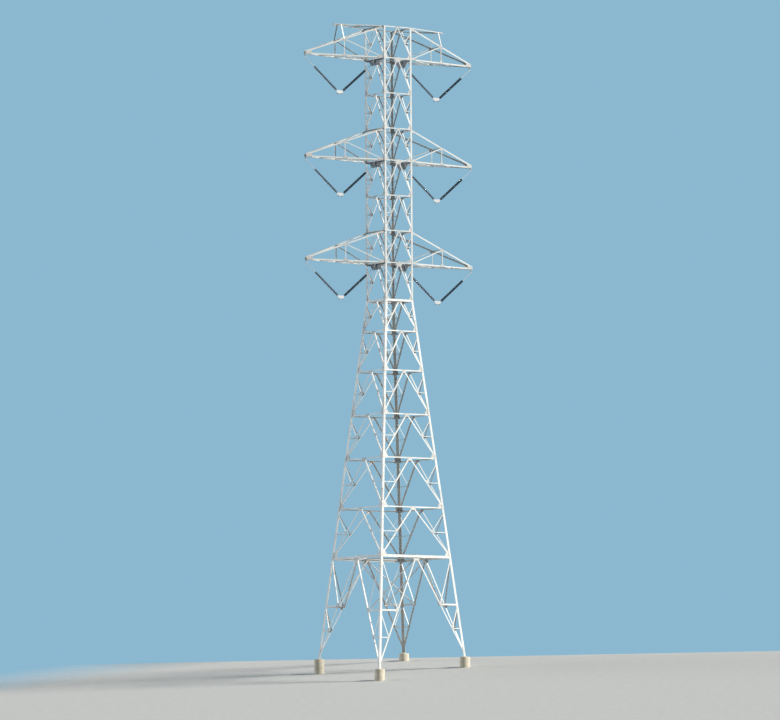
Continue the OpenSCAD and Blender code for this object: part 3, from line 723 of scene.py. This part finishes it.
# Profiles along a string, from a disc's foot up: radius and height
SHED = [(0.012, 0.006), (0.019, 0.010), (0.024, 0.019), (0.029, 0.013), (0.034, 0.011), (0.037, 0.020),
        (0.044, 0.014), (0.049, 0.012), (0.052, 0.021), (0.060, 0.017), (0.066, 0.016), (0.0695, 0.019),
        (0.070, 0.023), (0.068, 0.0265), (0.058, 0.031), (0.044, 0.037), (0.034, 0.043), (0.0275, 0.047),
        (0.024, 0.049)]
CAP = [(0.026, 0.042), (0.0285, 0.044), (0.0285, 0.049), (0.0265, 0.051), (0.0265, 0.064), (0.022, 0.070),
       (0.0165, 0.073), (0.0165, 0.0775), (0, 0.0775)]
BALL_PIN = [(0, -0.004), (0.009, -0.003), (0.009, 0.003), (0.0075, 0.006), (0.0075, 0.020), (0, 0.020)]
# Profiles of the socket under the first disc, the eye over the last, and the link's collar at its top
SOCKET = [(0, 0), (0.016, 0), (0.018, 0.01), (0.018, 0.03), (0.014, 0.036), (0, 0.036)]
EYE = [(0, -0.002), (0.017, 0), (0.019, 0.012), (0.019, 0.032), (0.013, 0.05), (0.011, 0.06)]
COLLAR = [(0.011, 0), (0.017, 0.008), (0.019, 0.03), (0.019, 0.058), (0, 0.058)]
SOCKET_RISE, COLLAR_DROP = 0.026, 0.06
YOKE_BOLT, SWING_PIN_HEAD = 0.010, 0.0145
# Suspension clamp, measured from its conductor's middle: the two U-bolts, the flat keeper under their
# nuts, and the bolt that hangs it from the yoke plate
U_BOLT_R, U_BOLT_OUT, U_BENDS = 2 * CONDUCTOR_R + 0.003, 0.05, 10
U_ROD_R, U_LEG, U_NUT = 0.0035, 0.026, 0.006
KEEPER_HALF_W, KEEPER_HALF_LEN, KEEPER_RISE, KEEPER_T = 0.027, 0.062, 0.008, 0.006
CLAMP_BOLT, CLAMP_BOLT_RISE = 0.008, 0.03


def string_line(level, side, way):
    """Foot of one leg of a V-string, the direction up it and its length."""
    foot = Vector((side * (STRING_MID + way * YOKE_W / 2), 0, LEVELS[level] - STRING_DROP))
    top = Vector((side * (STRING_MID + way * STRING_HALF), 0, LEVELS[level] - PIN_DROP - CLEVIS_DROP))
    return foot, (top - foot).normalized(), (top - foot).length


def add_string_hardware(metal, level, side, way):
    """Socket and yoke bolt at a leg's foot, eye, collar and swing pin at its top."""
    foot, up, length = string_line(level, side, way)
    metal.turned(foot + SOCKET_RISE * up, up, SOCKET, segments=14)
    metal.turned(foot + (TAIL_LINK + DISC_COUNT * DISC_PITCH) * up, up, EYE, segments=14)
    metal.turned(foot + (length - COLLAR_DROP) * up, up, COLLAR, segments=14)
    pin = Vector((side * (STRING_MID + way * STRING_HALF), 0, LEVELS[level] - PIN_DROP))
    ear_out = HANGER_T / 2 + EAR_CLEAR + EAR_T
    for s in (-1, 1):
        front, right = Vector((0, s, 0)), Vector((s, 0, 0))
        metal.bolt(foot + YOKE_T / 2 * front, front, YOKE_BOLT)
        metal.bolt(pin + ear_out * right, right, SWING_PIN_HEAD)


def add_clamp_hardware(metal, level, side, way):
    """U-bolts, nuts and the keeper of one suspension clamp."""
    x = side * (STRING_MID + way * BUNDLE_GAP / 2)
    z = LEVELS[level] - STRING_DROP - YOKE_H - 2 * CONDUCTOR_R
    middle = Vector((x, 0, z))
    angles = [math.pi * k / U_BENDS for k in range(U_BENDS + 1)]
    for y in (-U_BOLT_OUT, U_BOLT_OUT):
        bend = [Vector((x + U_BOLT_R * math.cos(a), y, z - U_BOLT_R * math.sin(a))) for a in angles]
        for p, q in zip(bend, bend[1:]):
            metal.rod(p, q, U_ROD_R)
        for leg in (bend[-1], bend[0]):
            metal.rod(leg, leg + U_LEG * UP, U_ROD_R)
            metal.bolt(leg + (KEEPER_RISE + KEEPER_T) * UP, UP, U_NUT)
    corners = [(-KEEPER_HALF_W, -KEEPER_HALF_LEN), (KEEPER_HALF_W, -KEEPER_HALF_LEN),
               (KEEPER_HALF_W, KEEPER_HALF_LEN), (-KEEPER_HALF_W, KEEPER_HALF_LEN)]
    keeper = spread(corners, middle + KEEPER_RISE * UP, Vector((1, 0, 0)), Vector((0, 1, 0)))
    metal.slab(keeper, KEEPER_T * UP)
    for s in (-1, 1):
        right = Vector((s, 0, 0))
        metal.bolt(middle + YOKE_T / 2 * right + CLAMP_BOLT_RISE * UP, right, CLAMP_BOLT)


def v_string(level, side_name, side):
    """Sheds, caps and hardware of one V-string. Its sheds and caps stand in for the CAD's plain discs."""
    sheds, caps, metal = Piece(), Piece(), Piece()
    for way in (-1, 1):
        foot, up, _ = string_line(level, side, way)
        for k in range(DISC_COUNT):
            at = foot + (TAIL_LINK + k * DISC_PITCH) * up
            sheds.turned(at, up, SHED, segments=28)
            caps.turned(at, up, CAP, segments=14)
            caps.turned(at, up, BALL_PIN, segments=8)
        add_string_hardware(metal, level, side, way)
        add_clamp_hardware(metal, level, side, way)
    arm = f"{level}_{side_name}"
    string = f"v_string_{arm}"
    sheds.build(f"insulator_sheds_{arm}", PORCELAIN, string, "glazed_porcelain", sharp=50.0)
    caps.build(f"insulator_caps_{arm}", CAP_IRON, string, "forged_fittings")
    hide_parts(f"insulators_{arm}")
    metal.build(f"string_hardware_{arm}", FORGED, string, "forged_fittings")


for level in LEVELS:
    for side_name, side in SIDES.items():
        v_string(level, side_name, side)


# Floor

# The camera's azimuth is counted from the front to the left, and its elevation is how far it looks up
VIEW_AZIMUTH, VIEW_ELEVATION, VIEW_ROLL = math.radians(35.5), math.radians(4.6), math.radians(-0.37)
VIEW_DISTANCE, LOOK_AT = 337.0, Vector((0, 0, 16.5))
# The floor's height at the tower's axis, and its rise for each metre of x and of y
FLOOR_RISE, FLOOR_X, FLOOR_Y = 0.6545, 0.138, 0.0934
# Distance up the slope to the crest, the width over which the floor bends there, and how sharply
CREST, CREST_WIDTH, CREST_BEND = 4.4, 3.0, 0.085
# How far the floor reaches across the view, towards the camera and away from it
FLOOR_ACROSS, FLOOR_NEAR, FLOOR_FAR = 34.0, 42.0, 16.0
FLOOR_RINGS, FLOOR_SEGMENTS = 64, 160
# Shares of that reach between which the floor fades out
FADE_START, FADE_END = 0.75, 0.99


def below_crest(uphill):
    """How far the floor falls away from its slope past the crest."""
    past = max(uphill - CREST, 0.0)
    bend = min(past, CREST_WIDTH)
    return CREST_BEND * (bend * bend + 2 * CREST_WIDTH * (past - bend))


def floor_material():
    """Plain pale surface that turns clear towards the rim of the unit disc it lies on."""
    n = Nodes("floor")
    grain = n.noise(90.0, detail=4.0)
    color = n.mix(n.ramp(grain, 0.3, 0.7), (0.57, 0.57, 0.56), (0.62, 0.62, 0.61))
    surface = n.shader(color, 0.9, n.bump(grain, distance=0.01, strength=0.2))
    from_middle = n.tree.nodes.new("ShaderNodeVectorMath")
    from_middle.operation = "LENGTH"
    n.link(n.scaled((1, 1, 0)), from_middle.inputs[0])
    clear = n.tree.nodes.new("ShaderNodeBsdfTransparent")
    blend = n.tree.nodes.new("ShaderNodeMixShader")
    n.link(n.ramp(from_middle.outputs["Value"], FADE_START, FADE_END), blend.inputs[0])
    n.link(surface, blend.inputs[1])
    n.link(clear.outputs["BSDF"], blend.inputs[2])
    n.link(blend.outputs["Shader"], n.output.inputs["Surface"])
    return n.material


def pale_floor():
    """Sloped floor that every pier stands up from by the same height, with a crest just behind the
    piers: a unit disc, stretched so that it reaches furthest towards the camera."""
    across = Vector((math.cos(VIEW_AZIMUTH), -math.sin(VIEW_AZIMUTH), 0))
    ahead = Vector((math.sin(VIEW_AZIMUTH), math.cos(VIEW_AZIMUTH), 0))
    length = (FLOOR_NEAR + FLOOR_FAR) / 2
    axes = [FLOOR_ACROSS * across, length * ahead]
    middle = (FLOOR_FAR - length) * ahead
    for v in (*axes, middle):
        v.z = FLOOR_X * v.x + FLOOR_Y * v.y
    middle.z += FLOOR_RISE
    slope = math.hypot(FLOOR_X, FLOOR_Y)
    verts = [(0, 0, 0)]
    faces = [[0, 1 + k, 1 + (k + 1) % FLOOR_SEGMENTS] for k in range(FLOOR_SEGMENTS)]
    for i in range(1, FLOOR_RINGS + 1):
        for k in range(FLOOR_SEGMENTS):
            a = 2 * math.pi * k / FLOOR_SEGMENTS
            x, y = i / FLOOR_RINGS * math.cos(a), i / FLOOR_RINGS * math.sin(a)
            at = middle + x * axes[0] + y * axes[1]
            verts.append((x, y, -below_crest((FLOOR_X * at.x + FLOOR_Y * at.y) / slope)))
    for i in range(FLOOR_RINGS - 1):
        low, high = 1 + i * FLOOR_SEGMENTS, 1 + (i + 1) * FLOOR_SEGMENTS
        for k in range(FLOOR_SEGMENTS):
            after = (k + 1) % FLOOR_SEGMENTS
            faces.append([low + k, high + k, high + after, low + after])
    mesh = bpy.data.meshes.new("floor")
    mesh.from_pydata(verts, [], faces)
    for polygon in mesh.polygons:
        polygon.use_smooth = True
    mesh.materials.append(floor_material())
    floor = bpy.data.objects.new("floor", mesh)
    bpy.context.scene.collection.objects.link(floor)
    normal = axes[0].cross(axes[1]).normalized()
    turn = Matrix((axes[0], axes[1], normal)).transposed().to_4x4()
    floor.matrix_world = Matrix.Translation(middle) @ turn


pale_floor()


# Light and camera

def studio_world():
    """Dim even light, and a plain backdrop for what the camera, metal and glass see."""
    world = bpy.data.worlds.new("studio")
    world.use_nodes = True
    bpy.context.scene.world = world
    tree = world.node_tree
    tree.nodes.clear()
    path = tree.nodes.new("ShaderNodeLightPath")
    seen = path.outputs["Is Camera Ray"]
    for ray in ("Is Glossy Ray", "Is Transmission Ray"):
        either = tree.nodes.new("ShaderNodeMath")
        either.operation = "MAXIMUM"
        tree.links.new(seen, either.inputs[0])
        tree.links.new(path.outputs[ray], either.inputs[1])
        seen = either.outputs[0]
    choose = tree.nodes.new("ShaderNodeMixShader")
    tree.links.new(seen, choose.inputs[0])
    # Colour and strength of each
    light, backdrop = ((0.66, 0.84, 1.0), 0.11), ((0.26, 0.48, 0.63), 1.0)
    for socket, (color, strength) in zip(choose.inputs[1:3], (light, backdrop)):
        node = tree.nodes.new("ShaderNodeBackground")
        node.inputs["Color"].default_value = (*color, 1.0)
        node.inputs["Strength"].default_value = strength
        tree.links.new(node.outputs[0], socket)
    out = tree.nodes.new("ShaderNodeOutputWorld")
    tree.links.new(choose.outputs[0], out.inputs["Surface"])


def sunlight(name, energy, color, azimuth, elevation, spread_angle):
    """Soft sun from an azimuth, counted from the front to the right, and an elevation, in degrees."""
    sun = bpy.data.lights.new(name, "SUN")
    sun.energy, sun.color, sun.angle = energy, color, math.radians(spread_angle)
    lamp = bpy.data.objects.new(name, sun)
    bpy.context.scene.collection.objects.link(lamp)
    azimuth, elevation = math.radians(azimuth), math.radians(elevation)
    level = math.cos(elevation)
    towards = Vector((math.sin(azimuth) * level, -math.cos(azimuth) * level, math.sin(elevation)))
    lamp.rotation_euler = towards.to_track_quat("Z", "Y").to_euler()


def main_camera():
    camera = bpy.data.cameras.new("camera")
    camera.sensor_width = 36.0
    camera.lens = 304.6
    camera.clip_start, camera.clip_end = 10.0, 2000.0
    eye = bpy.data.objects.new("camera", camera)
    bpy.context.scene.collection.objects.link(eye)
    level = math.cos(VIEW_ELEVATION)
    forward = Vector((math.sin(VIEW_AZIMUTH) * level, math.cos(VIEW_AZIMUTH) * level,
                      math.sin(VIEW_ELEVATION)))
    eye.location = LOOK_AT - VIEW_DISTANCE * forward
    roll = Quaternion((0, 0, 1), VIEW_ROLL)
    eye.rotation_euler = (forward.to_track_quat("-Z", "Y") @ roll).to_euler()
    bpy.context.scene.camera = eye


studio_world()
sunlight("key", 4.4, (1.0, 0.955, 0.875), azimuth=43, elevation=30, spread_angle=9)
sunlight("fill", 1.4, (0.90, 0.95, 1.0), azimuth=215, elevation=25, spread_angle=25)
main_camera()
bpy.context.scene.view_settings.view_transform = "Standard"
